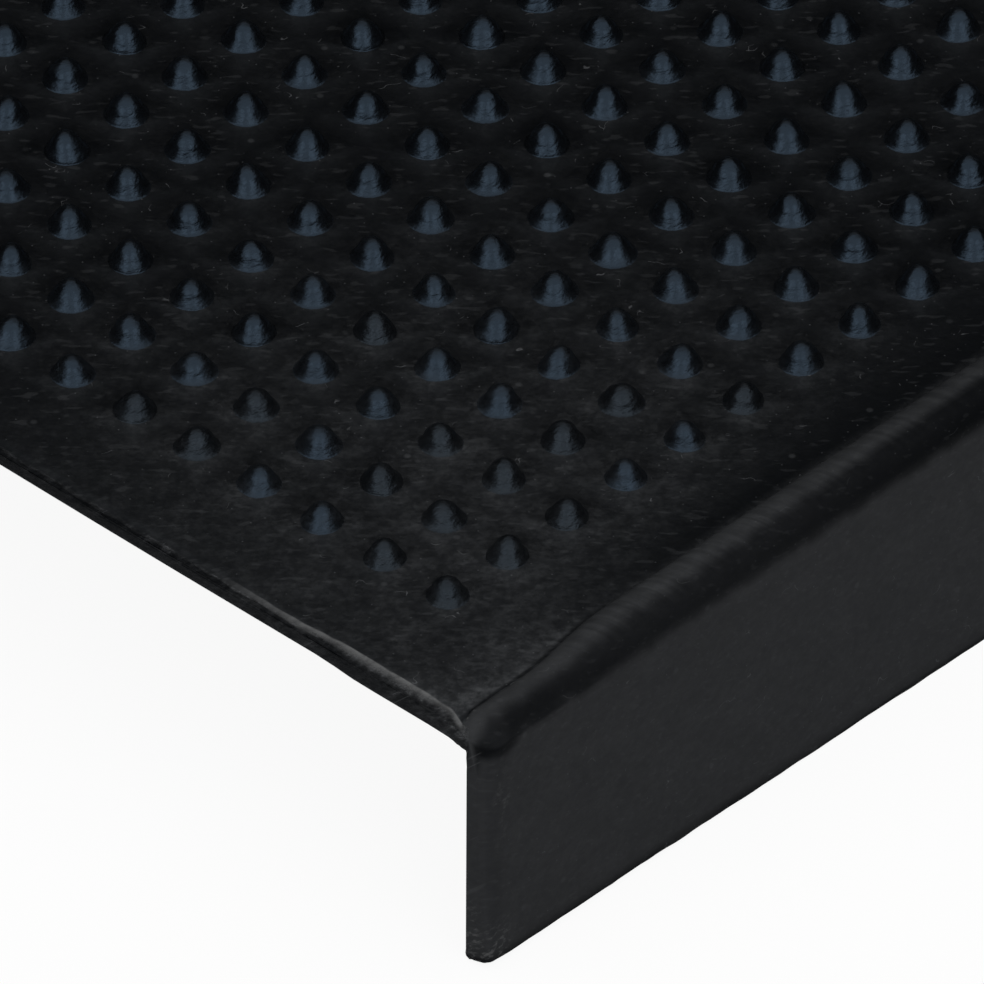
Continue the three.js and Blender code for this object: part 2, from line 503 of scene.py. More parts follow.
def stud_rings(rng, steps, rises, size):
    """Points of one stud's rings and tip around its centre, a little uneven."""
    angles = np.arange(steps) * 2 * math.pi / steps
    lean = rng.normal(0, LEAN, 2)
    width = size + rng.normal(0, WIDTH_SPREAD)
    height = STUD_HEIGHT * (size + np.clip(rng.normal(0, HEIGHT_SPREAD), *HEIGHT_LIMITS))
    oval = rng.normal(0, OVAL_SPREAD)
    turn = rng.uniform(0, math.pi)
    dents = rng.normal(0, DENT_SPREAD, FINE_STUD[0])[:steps]
    rings = []
    for rise in rises:
        uneven = 1 + oval * np.cos(2 * (angles - turn)) + dents + RING_SPREAD * rng.normal()
        flare = STUD_FLARE * fade(rise, 0, FLARE_SHARE)
        radius = STUD_RADIUS * dome(rise) * width * uneven + flare
        x = radius * np.cos(angles) + lean[0] * rise
        y = radius * np.sin(angles) + lean[1] * rise
        rings.append(np.column_stack([x, y, np.full(steps, rise * height)]))
    return np.concatenate(rings + [[[lean[0], lean[1], height]]])


def stud_faces(ring, corner, steps, levels):
    """Faces of one cell: its flat rim, then the stud's rings and its tip."""
    quarter = steps // 4
    flat = []
    for side in range(4):
        first = side * quarter
        for k in range(first, first + quarter):
            flat.append((ring[k % steps], corner[side], ring[(k + 1) % steps]))
        flat.append((ring[first], corner[side - 1], corner[side]))
    sides = []
    for level in range(levels - 1):
        low, high = ring[level * steps:], ring[(level + 1) * steps:]
        for k in range(steps):
            after = (k + 1) % steps
            sides.append((low[k], low[after], high[after], high[k]))
    last = ring[(levels - 1) * steps:]
    tip = ring[levels * steps]
    sides += [(last[k], last[(k + 1) % steps], tip) for k in range(steps)]
    return flat, sides


def add_stud_field(work):
    """A cell around each stud. The studs near the corner are smaller, and many are dull."""
    rng = np.random.default_rng(SEED)
    wear = np.random.default_rng(WEAR_SEED)
    grid = [[(x, y, PLATE_TOP) for y in GRID_Y] for x in GRID_X]
    ids = work.add_points(np.reshape(grid, (-1, 3))).reshape(COLUMNS + 1, ROWS + 1)
    for i in range(COLUMNS):
        for j in range(ROWS):
            x, y = (GRID_X[i] + GRID_X[i + 1]) / 2, (GRID_Y[j] + GRID_Y[j + 1]) / 2
            reach = math.hypot(x - LEFT, y - FRONT)
            steps, rises = FINE_STUD if reach < FINE_REACH else PLAIN_STUD
            size = 1 - WORN_SHARE * fade(reach, *WORN_SPAN)
            ring = work.add_points(stud_rings(rng, steps, rises, size) + (x, y, PLATE_TOP))
            corner = (ids[i + 1, j + 1], ids[i, j + 1], ids[i, j], ids[i + 1, j])
            flat, sides = stud_faces(ring, corner, steps, len(rises))
            work.add_faces(flat)
            glossy = GLOSSY_SHARE + (1 - GLOSSY_SHARE) * smooth(reach, *GLOSSY_SPAN)
            work.add_faces(sides, DULL_STUD_SURFACE if wear.random() > glossy else STUD_SURFACE)
    return ids


# The swept moulding around the field

def section(samples, x, degrees=0, side=0):
    """Where the samples' rays, turned by an angle towards a side, leave the mat."""
    y, z, across, up = np.array(samples).T[:4]
    lean, rest = math.sin(math.radians(degrees)), math.cos(math.radians(degrees))
    origin = np.column_stack([np.broadcast_to(x, y.shape), y, z])
    direction = np.column_stack([np.full(len(y), side * lean), across * rest, up * rest])
    return cast(origin, direction)


def end_sections(samples, side):
    """Sections from the last cell to the end of the mat, first straight and then fanned."""
    end = LEFT if side < 0 else RIGHT
    inner = GRID_X[0] if side < 0 else GRID_X[-1]
    still = end - side * np.array(samples)[:, 4]
    straight = [section(samples, inner + (still - inner) * share) for share in END_SHARES]
    return straight + [section(samples, still, degrees, side) for degrees in FAN_ANGLES]


def add_moulding(work, ids):
    """The nosing, lip, underside and margins, joined to the field's outer corners."""
    wrap = front_samples() + under_samples() + back_samples()
    loop = wrap + [sample(y, PLATE_MIDDLE, UP) for y in strip_places()[::-1]]
    places = sweep_places()
    rows = [work.add_points(shaped(section(wrap, x))) for x in places]
    for a, b in zip(rows, rows[1:]):
        add_strip(work, a, b)
    first = [row[0] for row in rows]
    last = [row[-1] for row in rows]
    work.add_faces(stitch(ids[:, 0], first, GRID_X, places))
    work.add_faces(stitch(ids[:, -1], last, GRID_X, places))
    for side, row, column in ((-1, rows[0], ids[0]), (1, rows[-1], ids[-1])):
        add_end(work, loop, len(wrap), side, row, column)


def add_end(work, loop, wrapped, side, row, column):
    """The mat beyond the last cells, as closed rings of points out to its end."""
    sections = [work.add_points(shaped(s)) for s in end_sections(loop, side)]
    nearest = sections[0]
    add_strip(work, row, nearest[:wrapped])
    top = nearest[wrapped:][::-1]
    work.add_faces(stitch(column, top, GRID_Y, strip_places()))
    work.add_faces([(row[0], nearest[0], top[0], column[0])])
    work.add_faces([(row[-1], nearest[wrapped - 1], top[-1], column[-1])])
    for a, b in zip(sections, sections[1:]):
        add_strip(work, a, b, closed=True)
    close_end(work, sections[-1])


# Samples past the crease, and past the lip's back, where an end's flat pieces meet
CREASE_JOINT = 3
CORNER_JOINT = 4


def close_end(work, row):
    """Closes an end with flat pieces for the bead, the lip and the plate."""
    row, front = list(row), len(front_samples())
    crease = len(CREASE_GAPS) + CREASE_JOINT
    lip_top = front - len(LIP_FRONT_LEVELS) - 1
    lip_back = front + len(FOOT_ANGLES) + len(LIP_BACK_LEVELS) - 1
    corner = lip_back + CORNER_JOINT
    bead = row[crease:lip_top + 1] + row[lip_back:corner + 1]
    lip = row[lip_top:lip_back + 1]
    plate = row[corner:] + row[:crease + 1]
    points = np.concatenate(work.points)
    for piece in (bead, lip, plate):
        flat = [Vector((y, z, 0)) for _, y, z in points[piece]]
        faces = [[piece[i] for i in face] for face in geometry.tessellate_polygon([flat])]
        work.add_faces(faces)


# Dust on the plate, which is thickest at the corner and wiped away beside the bead, with painted
# light round the feet of the studs that lifts the shade there

CORNER_SPAN = (10, 115)
PLATE_DUST, PLATE_DUST_LOST = 0.175, 0.15
GAP_DUST = 0.1
GAP_SPAN_X, GAP_SPAN_Y = (LEFT + 20, LEFT + 80), (FRONT + 9, FRONT + 18)
WIPED_SHARE = 0.95
WIPED_SPAN_X, WIPED_SPAN_Y = (LEFT + 3, LEFT + 48), (CREASE_Y + 1, CREASE_Y + 11)
STUD_FOOT_LIGHT, STUD_FOOT_LIGHT_AWAY = 0.3, 0.8
STUD_FOOT_OUTER_SPAN, STUD_FOOT_INNER_SPAN = (3.6, 5.0), (2.2, 2.5)
CREASE_DUST = 0.1
CREASE_DUST_SPAN = (CREASE_Y + 0.1, CREASE_Y + 1.2)
CLEAN_END_SHARE = 0.8
CLEAN_END_SPAN_X, CLEAN_END_SPAN_Z = (RIGHT - 0.5, RIGHT - 0.1), (1.9, 2.5)


def corner_away(x, y):
    """0 at the photographed corner and 1 far from it."""
    return smooth(np.hypot(x - LEFT, y - FRONT), *CORNER_SPAN)


def stud_foot(x, y):
    """1 at the foot of a stud and 0 between the studs."""
    away = np.hypot((x - GRID_X[0]) % PITCH - PITCH / 2, (y - GRID_Y[0]) % PITCH - PITCH / 2)
    inside = (x > GRID_X[0]) & (x < GRID_X[-1]) & (y > GRID_Y[0]) & (y < GRID_Y[-1])
    return inside * fade(away, *STUD_FOOT_OUTER_SPAN) * smooth(away, *STUD_FOOT_INNER_SPAN)


def plate_dust_and_painted_light(x, y, z):
    """Dust on the plate and its cut ends, and painted light round the feet of its studs."""
    away = corner_away(x, y)
    dust_and_painted_light = PLATE_DUST - PLATE_DUST_LOST * away
    gap = fade(x, *GAP_SPAN_X) * fade(y, *GAP_SPAN_Y)
    wiped = smooth(x, *WIPED_SPAN_X) * fade(y, *WIPED_SPAN_Y)
    # Painted light round the feet of the studs, which lifts the shade there, more of it away from
    # the corner.
    painted_foot_light = (STUD_FOOT_LIGHT + STUD_FOOT_LIGHT_AWAY * away) * stud_foot(x, y)
    dust_and_painted_light = (dust_and_painted_light + GAP_DUST * gap) * (1 - WIPED_SHARE * wiped) * (1 + painted_foot_light)
    dust_and_painted_light += CREASE_DUST * fade(y, *CREASE_DUST_SPAN)
    ends = smooth(np.abs(x), *CLEAN_END_SPAN_X) * fade(z, *CLEAN_END_SPAN_Z)
    return dust_and_painted_light * (1 - CLEAN_END_SHARE * ends)


# Dust on the nosing: a dusty crown, a dark band under it that lightens towards the crown as a
# painted reflection, and a dusty front face. A painted shade runs along the lip's foot, a painted
# shadow lies in a ring under the ball at the bead's end, and a painted highlight lies on the
# ball.

NEAR_SPAN = (LEFT + 25, LEFT + 100)
CROWN_DUST, CROWN_DUST_NEAR = 0.34, 0.1
CROWN_START, CROWN_START_NEAR = -BEAD_Y - 0.1, 0.3
CROWN_END, CROWN_END_NEAR = -BEAD_Y + 1.4, 0.8
BAND_REFLECTION, BAND_DUST_NEAR = 0.045, 0.075
BAND_REFLECTION_SPAN = (BEAD_Z + 0.7, BEAD_Z + 3.0)
FACE_DUST = 0.285
FACE_START, FACE_END = BEAD_Z - 1.5, BEAD_Z + 0.1
SOLE_SHADE_SHARE = 0.97
SOLE_SHADE_LINE, SOLE_SHADE_LINE_SPAN = 0.7, (0.4, 0.9)
SOLE_SHADE, SOLE_SHADE_SPAN = 0.3, (0.5, 2.4)
EDGE_SHARE = 0.13
EDGE_START_SPAN, EDGE_END_SPAN = (LEFT + 0.1, LEFT + 0.5), (LEFT + 1.2, LEFT + 3.2)
BALL_SHADOW_SHARE = 0.9
BALL_SHADOW_GAP = 0.55
BALL_SHADOW_SPAN = (0.25, 0.75)
BALL_SHADOW_TOP = BEAD_Z - 0.8
BALL_HIGHLIGHT = 0.12
BALL_HIGHLIGHT_SPAN = (BALL_RADIUS - 0.7, BALL_RADIUS + 0.6)


def ball_reach(x, y, z):
    """How far a point lies from the middle of the ball at the bead's end."""
    return np.sqrt((x - LEFT - BALL_RADIUS) ** 2 + (y - BEAD_Y + BALL_FORWARD) ** 2
                   + (z - BEAD_Z + BALL_DROP) ** 2)


def nosing_dust_and_painted_light(x, y, z):
    """Dust on the bead and the lip, with painted shade along the foot, a painted shadow and
    highlight at the ball and a painted reflection on the band.
    """
    near = fade(x, *NEAR_SPAN)
    wave = ripple(x, CROWN_WAVES)
    crown = fade(-y, CROWN_START + wave + CROWN_START_NEAR * near,
                 CROWN_END + wave + CROWN_END_NEAR * near)
    # Painted reflection: the band under the crown lightens upwards towards it; near the end it
    # also has more dust.
    band_reflection_and_dust = BAND_REFLECTION * smooth(z, *BAND_REFLECTION_SPAN) + BAND_DUST_NEAR * near
    ragged = ripple(x, FACE_WAVES)
    face = fade(z, FACE_START + ragged, FACE_END + ragged)
    dust_and_painted_light = (CROWN_DUST + CROWN_DUST_NEAR * near) * crown + band_reflection_and_dust * (1 - crown)
    dust_and_painted_light = dust_and_painted_light * (1 - face) + FACE_DUST * face
    height = z - foot_level(x, y)
    # Painted shade along the lip's foot: a thin line at its edge and a broader band above it.
    painted_sole_shade = SOLE_SHADE_LINE * fade(height, *SOLE_SHADE_LINE_SPAN) + SOLE_SHADE * fade(height, *SOLE_SHADE_SPAN)
    edge = EDGE_SHARE * fade(x, *EDGE_END_SPAN) * smooth(x, *EDGE_START_SPAN)
    ball = ball_reach(x, y, z)
    # Painted shadow: a dark ring under the ball at the bead's end.
    ring = fade(np.abs(ball - BALL_RADIUS - BALL_SHADOW_GAP), *BALL_SHADOW_SPAN)
    ring *= (z < BALL_SHADOW_TOP) * (x < LEFT + 2 * BALL_RADIUS)
    # Painted highlight: a lighter patch on the ball, in place of its gloss.
    painted_ball_highlight = BALL_HIGHLIGHT * fade(ball, *BALL_HIGHLIGHT_SPAN)
    painted_shade_keep = (1 - SOLE_SHADE_SHARE * painted_sole_shade) * (1 - BALL_SHADOW_SHARE * ring)
    return (dust_and_painted_light * (1 - edge) + painted_ball_highlight) * painted_shade_keep


# The crease between the two, with a line of painted shade in it near the corner

CREASE_BLEND = 0.25
CREASE_SHADE_SHARE = 0.85
CREASE_SHADE_OFFSET = 0.2
CREASE_SHADE_SPAN, CREASE_SHADE_END_SPAN = (0.1, 0.45), (LEFT + 18, LEFT + 30)


def dust_and_painted_light_share(points):
    """How dusty the rubber is at each point, with painted light and shade laid into the same
    share.
    """
    x, y, z = points.T
    crease = crease_at(x)
    plate = smooth(y, crease - CREASE_BLEND, crease + CREASE_BLEND)
    # Painted shade: this line takes the dust away along the crease, near the corner.
    line = fade(np.abs(y - crease - CREASE_SHADE_OFFSET), *CREASE_SHADE_SPAN) * fade(x, *CREASE_SHADE_END_SPAN)
    dust_and_painted_light = nosing_dust_and_painted_light(x, y, z) * (1 - plate) + plate_dust_and_painted_light(x, y, z) * plate
    return dust_and_painted_light * (1 - CREASE_SHADE_SHARE * line * (z > BEAD_Z))


# Rubbed places: the rim of the plate's end, whose wear grows towards its top edge as a painted
# highlight, the lip's lower corner and its upright edge

RIM_WEAR_SPAN_X, RIM_WEAR_AND_HIGHLIGHT_SPAN_Z = (LEFT + 2, LEFT + 4), (1.7, 3.1)
RIM_WEAR_START_SPAN, RIM_WEAR_END_SPAN = (FRONT + 4.2, FRONT + 5.0), (FRONT + 27, FRONT + 45)
LIP_REACH = RISER + 0.5
TIP_WEAR = 0.4
TIP_WEAR_SPAN_X, TIP_WEAR_SPAN_Z = (LEFT + 1.5, LEFT + 5), (FOOT + 3, FOOT + 8)
EDGE_WEAR = 0.17
EDGE_WEAR_PLACE = 1.9
EDGE_WEAR_SPAN_X = (0.4, 1.3)
EDGE_WEAR_LOW_SPAN, EDGE_WEAR_HIGH_SPAN = (-14, -10), (-5, -2.5)


def wear_and_rim_highlight_share(points):
    """How rubbed the rubber is at each point, with a painted highlight on the plate's rim."""
    x, y, z = points.T
    # Real wear on the rim, made stronger towards its top edge as a painted highlight of its
    # upward-facing rounding.
    rim = fade(x, *RIM_WEAR_SPAN_X) * smooth(z - rim_lift(x, y), *RIM_WEAR_AND_HIGHLIGHT_SPAN_Z)
    rim *= smooth(y, *RIM_WEAR_START_SPAN) * fade(y, *RIM_WEAR_END_SPAN)
    lip = (y < LIP_REACH) & (z < 0)
    tip = fade(x, *TIP_WEAR_SPAN_X) * fade(z, *TIP_WEAR_SPAN_Z)
    edge = fade(np.abs(x - LEFT - EDGE_WEAR_PLACE), *EDGE_WEAR_SPAN_X)
    edge *= smooth(z, *EDGE_WEAR_LOW_SPAN) * fade(z, *EDGE_WEAR_HIGH_SPAN)
    return rim + lip * np.maximum(TIP_WEAR * tip, EDGE_WEAR * edge)


# The mesh

CUT_END_DEPTH = 0.5
CUT_END_START = RISER - 0.2
SOLE_TOP = FOOT + 2
SHARP_ANGLE = 0.35


def at_cut_end(x, y, z):
    """Whether a place is on the cut end of the plate, below its rim."""
    rim = PLATE_TOP + rim_lift(x, y)
    return abs(x) > RIGHT - CUT_END_DEPTH and y > CUT_END_START and z < rim - CUT_END_DEPTH


def surface_kind(corners, kind):
    """A stud's kind as it is, and the kind of any other face by where it lies."""
    if kind in (STUD_SURFACE, DULL_STUD_SURFACE):
        return kind
    x, y, z = corners.mean(axis=0)
    if at_cut_end(x, y, z):
        return END_SURFACE
    return NOSING_SURFACE if y < crease_at(x) else PLATE_SURFACE


def make_mat(materials):
    work = Patchwork()
    ids = add_stud_field(work)
    add_moulding(work, ids)
    points, faces, kinds = work.merged()
    kinds = [surface_kind(points[face], kind) for face, kind in zip(faces, kinds)]
    mesh = bpy.data.meshes.new("rubber_mat")
    mesh.from_pydata((points * METRES).tolist(), [], faces)
    for material in materials:
        mesh.materials.append(material)
    mesh.polygons.foreach_set("material_index", np.array(kinds, np.int32))
    # The dust share also holds painted shade, shadow, highlight, reflection and light; the wear
    # share holds a painted highlight on the plate's rim.
    for name, field in (("dust_and_painted_light", dust_and_painted_light_share), ("wear", wear_and_rim_highlight_share)):
        values = np.clip(field(points), 0, 1).astype(np.float32)
        mesh.attributes.new(name, "FLOAT", "POINT").data.foreach_set("value", values)
    turn_outwards(mesh)
    piece = bpy.data.objects.new("rubber_mat", mesh)
    bpy.context.scene.collection.objects.link(piece)
    return piece


def turn_outwards(mesh):
    """Makes the faces look outwards, and the edges of the lip's foot sharp."""
    edit = bmesh.new()
    edit.from_mesh(mesh)
    bmesh.ops.recalc_face_normals(edit, faces=edit.faces)
    for face in edit.faces:
        face.smooth = True
    for edge in edit.edges:
        if max(vert.co.z for vert in edge.verts) < SOLE_TOP * METRES:
            edge.smooth = edge.calc_face_angle() < SHARP_ANGLE
    edit.to_mesh(mesh)
    edit.free()


# Shader nodes

MIX_SHARE, MIX_FIRST, MIX_SECOND, MIX_RESULT = 0, 6, 7, 2


def add_node(tree, kind, inputs=None, **settings):
    node = tree.nodes.new(kind)
    for name, value in settings.items():
        setattr(node, name, value)
    for key, value in (inputs or {}).items():
        socket = node.inputs[key]
        if isinstance(value, bpy.types.NodeSocket):
            tree.links.new(value, socket)
        else:
            socket.default_value = value
    return node


def calculate(tree, operation, a, b=0.0, c=0.0):
    return add_node(tree, "ShaderNodeMath", {0: a, 1: b, 2: c}, operation=operation).outputs[0]


def multiply(tree, product, *factors):
    for factor in factors:
        product = calculate(tree, "MULTIPLY", product, factor)
    return product


def map_range(tree, value, start, end, low, high, kind="LINEAR"):
    inputs = {"Value": value, "From Min": start, "From Max": end, "To Min": low, "To Max": high}
    return add_node(tree, "ShaderNodeMapRange", inputs, interpolation_type=kind).outputs[0]


def ramp(tree, value, start, end, low=0.0, high=1.0):
    """Low before start and high after end, with a smooth step between them."""
    if start > end:
        start, end, low, high = end, start, high, low
    return map_range(tree, value, start, end, low, high, "SMOOTHSTEP")


def noise(tree, place, scale, detail=3.0, roughness=0.55):
    node = add_node(tree, "ShaderNodeTexNoise",
                    {"Vector": place, "Scale": scale, "Detail": detail, "Roughness": roughness})
    return node.outputs["Fac"]


def cells(tree, place, scale, **settings):
    return add_node(tree, "ShaderNodeTexVoronoi", {"Vector": place, "Scale": scale},
                    voronoi_dimensions="2D", **settings).outputs


def attribute(tree, name):
    return add_node(tree, "ShaderNodeAttribute", attribute_name=name).outputs["Fac"]


def parts_of(tree, vector):
    return add_node(tree, "ShaderNodeSeparateXYZ", {0: vector}).outputs


def vector_of(tree, x, y, z):
    return add_node(tree, "ShaderNodeCombineXYZ", {0: x, 1: y, 2: z}).outputs[0]


def mix_tones(tree, share, first, second):
    inputs = {MIX_SHARE: share, MIX_FIRST: first, MIX_SECOND: second}
    return add_node(tree, "ShaderNodeMix", inputs, data_type="RGBA").outputs[MIX_RESULT]


# Patterns of dust, lint and wear. Scales are waves or cells in each millimetre.

STREAK_DEGREES = -46.9
STREAK_LENGTH = 2.6

# Noise of the film: scale, detail and roughness, the span of its values, and how far it
# thins and thickens the dust
CLOUD = ((0.17, 6.0, 0.68), (0.3, 0.7), 0.6, 0.6)
STREAK = ((1.3, 5.0, 0.7), (0.32, 0.7), 0.35, 0.5)
MOTTLE = ((0.8, 5.0, 0.7), (0.38, 0.66), 0.5, 0.75)

RIB_LEVEL_SPAN = (3.3, 4.3)
RIB_SLANT = 0.25
RIB_NOISE = (0.8, 3.0)
RIB_SPAN = (0.36, 0.64)
RIB_LIMITS = (-0.16, 0.2)

DASH_NOISE, DASH_SPAN, DASH_LEVEL = (1.1, 1.0), (0.62, 0.72), 0.12
SMALL_FLECKS, SMALL_LEVEL = {"scale": 0.6, "reach": 0.14, "share": 0.35}, 0.6
PALE_FLECKS, PALE_LEVEL = {"scale": 0.16, "reach": 0.55, "share": 0.25}, 0.3
FLECK_CORE = 0.35
FLECK_WHOLE = 0.6

HAIR_LEVEL = 0.7
HAIR_BEND_SCALE, HAIR_BEND = 0.45, (5.0, 5.0, 0.0)
HAIR_CELL_SCALE, HAIR_SPAN = 0.11, (0.009, 0.003)
HAIR_PIECE_NOISE, HAIR_PIECE_SPAN = (0.34, 1.0), (0.63, 0.67)


def unfolded(tree):
    """Millimetres along X and across the mat, which run on down the nosing's front."""
    raw = add_node(tree, "ShaderNodeTexCoord").outputs["Object"]
    place = add_node(tree, "ShaderNodeVectorMath", {0: raw, 1: (1 / METRES,) * 3},
                     operation="MULTIPLY").outputs[0]
    part = parts_of(tree, place)
    across = calculate(tree, "ADD", part["Y"], part["Z"])
    return vector_of(tree, part["X"], across, part["Z"])


def stretched(tree, place, degrees, length):
    """Coordinates drawn out along one direction across the mat."""
    node = add_node(tree, "ShaderNodeMapping",
                    {"Vector": place, "Rotation": (0, 0, math.radians(degrees)),
                     "Scale": (length, 1, 1)}, vector_type="TEXTURE")
    return node.outputs[0]


def flecks(tree, place, scale, reach, share):
    """Small round specks: one in some of the cells, each of its own strength."""
    cell = cells(tree, place, scale)
    random = parts_of(tree, cell["Color"])
    spot = ramp(tree, cell["Distance"], reach * scale, FLECK_CORE * reach * scale)
    chosen = ramp(tree, random["X"], 1 - share, 1 - FLECK_WHOLE * share)
    return multiply(tree, spot, chosen, random["Y"])


def hairs(tree, place):
    """Short bent fibres, which are pieces of the borders between wavy cells."""
    bend = add_node(tree, "ShaderNodeTexNoise",
                    {"Vector": place, "Scale": HAIR_BEND_SCALE, "Detail": 1.0})
    moved = add_node(tree, "ShaderNodeVectorMath",
                     {0: bend.outputs["Color"], 1: HAIR_BEND, 2: place},
                     operation="MULTIPLY_ADD").outputs[0]
    border = cells(tree, moved, HAIR_CELL_SCALE, feature="DISTANCE_TO_EDGE")
    line = ramp(tree, border["Distance"], *HAIR_SPAN)
    pieces = ramp(tree, noise(tree, place, *HAIR_PIECE_NOISE), *HAIR_PIECE_SPAN)
    return multiply(tree, line, pieces)


def ribs(tree, place):
    """Uneven strokes across the bead's crest."""
    part = parts_of(tree, place)
    crest = ramp(tree, part["Z"], *RIB_LEVEL_SPAN)
    slanted = calculate(tree, "MULTIPLY_ADD", part["Y"], RIB_SLANT, part["X"])
    line = vector_of(tree, slanted, 0.0, 0.0)
    stroke = ramp(tree, noise(tree, line, *RIB_NOISE), *RIB_SPAN, *RIB_LIMITS)
    return calculate(tree, "MULTIPLY_ADD", crest, stroke, 1.0)


def mottling(tree, place, pattern, uneven):
    """A factor around 1 that thins and thickens the film of dust."""
    values, span, thins, thickens = pattern
    return ramp(tree, noise(tree, place, *values), *span, 1 - thins * uneven,
                1 + thickens * uneven)


def dust_and_painted_light_amount(tree, place, film_share, lint_share, uneven):
    """The mottled, streaky film of dust and of the painted light and shade laid into it, with its
    flecks and lint.
    """
    film = multiply(tree, attribute(tree, "dust_and_painted_light"), film_share)
    drawn = stretched(tree, place, STREAK_DEGREES, STREAK_LENGTH)
    cloud = mottling(tree, place, CLOUD, uneven)
    streak = mottling(tree, drawn, STREAK, uneven)
    mottle = mottling(tree, place, MOTTLE, uneven)
    film = multiply(tree, film, cloud, streak, mottle, ribs(tree, place))
    if not lint_share:
        return film
    dash = multiply(tree, ramp(tree, noise(tree, drawn, *DASH_NOISE), *DASH_SPAN), DASH_LEVEL)
    small = multiply(tree, flecks(tree, place, **SMALL_FLECKS), SMALL_LEVEL)
    pale = multiply(tree, flecks(tree, place, **PALE_FLECKS), PALE_LEVEL)
    lint = multiply(tree, hairs(tree, place), HAIR_LEVEL)
    for part in (dash, small, pale, lint):
        film = calculate(tree, "MULTIPLY_ADD", part, lint_share, film)
    return film


# Rubber. A worn pattern is how far from the mat's end it reaches, the span of its noise,
# and its least strength.

CLEAN_AND_PAINTED_SHADE_TONE = (0.0016, 0.0019, 0.0024, 1)
DUST_AND_PAINTED_LIGHT_TONE = (0.063, 0.0655, 0.069, 1)
WEAR_AND_HIGHLIGHT_TONE = (0.107, 0.108, 0.109, 1)
# Specular tints: painted colour of a bluish light, which turns the rubber's reflections blue,
# most on the studs.
BLUE_LIGHT_TINT = (0.48, 0.71, 1.0, 1)
DULL_BLUE_LIGHT_TINT = (0.62, 0.8, 1.0, 1)
PALE_BLUE_LIGHT_TINT = (0.8, 0.9, 1.0, 1)
RIM_WEAR_AND_HIGHLIGHT = (0.5, 0.3, 0.6, 0.6)
WORN_LIP = (9.0, 0.5, 0.68, 0.0)
WORN_NOISE = (1.1, 4.0, 0.65)
WORN_EDGE = 0.08
GLOSS_NOISE, GLOSS_SPAN, GLOSS_SPREAD = (0.3, 4.0), (0.3, 0.7), 0.05
GRAIN_NOISE = (1.6, 4.0, 0.65)
LUMP_DETAIL, LUMP_SHARE = 2.0, 3.0


def wear_and_rim_highlight_amount(tree, place, worn):
    """The rubbed places, patchy, and only as far along as worn says."""
    reach, start, end, least = worn
    rubbed = ramp(tree, noise(tree, place, *WORN_NOISE), start, end, least, 1.0)
    along = parts_of(tree, place)["X"]
    near = ramp(tree, along, LEFT + reach + WORN_EDGE, LEFT + reach - WORN_EDGE)
    return multiply(tree, attribute(tree, "wear"), near, rubbed)


def rubber(name, roughness, specular, tint, grain, film_share=1.0, lint_share=0.0,
           uneven=0.6, lump_scale=0.35, dull=0.5, worn=RIM_WEAR_AND_HIGHLIGHT):
    """Clean black rubber with its dust, wear, uneven gloss and grain, and the painted light and
    shade that the dust and wear shares carry.

    The shares say how much of the dust and lint lie on it, uneven how patchy the dust is,
    and dull how much rougher the dust makes it. The grain is the bump's height.
    """
    material = bpy.data.materials.new(name)
    material.use_nodes = True
    tree = material.node_tree
    shader = tree.nodes["Principled BSDF"]
    place = unfolded(tree)
    dust_and_painted_light = dust_and_painted_light_amount(tree, place, film_share, lint_share, uneven)
    # The tone goes towards the pale one for dust and painted light, and towards the black one for
    # clean rubber and painted shade.
    dusty_and_painted = mix_tones(tree, dust_and_painted_light, CLEAN_AND_PAINTED_SHADE_TONE, DUST_AND_PAINTED_LIGHT_TONE)
    tone = mix_tones(tree, wear_and_rim_highlight_amount(tree, place, worn), dusty_and_painted, WEAR_AND_HIGHLIGHT_TONE)
    gloss = ramp(tree, noise(tree, place, *GLOSS_NOISE), *GLOSS_SPAN,
                 roughness - GLOSS_SPREAD, roughness + GLOSS_SPREAD)
    rough = calculate(tree, "MULTIPLY_ADD", dust_and_painted_light, dull, gloss)
    lumps = multiply(tree, noise(tree, place, lump_scale, LUMP_DETAIL), LUMP_SHARE)
    fine = noise(tree, place, *GRAIN_NOISE)
    height = calculate(tree, "ADD", calculate(tree, "ADD", lumps, fine), dust_and_painted_light)
    bump = add_node(tree, "ShaderNodeBump",
                    {"Height": height, "Distance": grain * METRES, "Strength": 1.0})
    shader.inputs["Specular IOR Level"].default_value = specular
    shader.inputs["Specular Tint"].default_value = tint
    tree.links.new(tone, shader.inputs["Base Color"])
    tree.links.new(rough, shader.inputs["Roughness"])
    tree.links.new(bump.outputs[0], shader.inputs["Normal"])
    return material


def make_surfaces():
    """The materials, in the order of the surface kinds."""
    return [
        rubber("plate_rubber", roughness=0.42, specular=0.065, tint=PALE_BLUE_LIGHT_TINT, grain=0.05,
               lint_share=1.0),
        rubber("stud_rubber", roughness=0.22, specular=0.38, tint=BLUE_LIGHT_TINT, grain=0.045,
               film_share=0.45, lump_scale=0.9, dull=2.2),
        rubber("nosing_rubber", roughness=0.40, specular=0.012, tint=PALE_BLUE_LIGHT_TINT, grain=0.02,
               lint_share=0.5, uneven=0.13, worn=WORN_LIP),
        rubber("trimmed_rubber", roughness=0.55, specular=0.03, tint=PALE_BLUE_LIGHT_TINT, grain=0.12,
               film_share=2.0, lint_share=0.6, uneven=1.4),
        rubber("dull_stud_rubber", roughness=0.26, specular=0.27, tint=DULL_BLUE_LIGHT_TINT, grain=0.06,
               film_share=0.35, lump_scale=0.9, dull=1.6),
    ]


# Floor, lights and camera

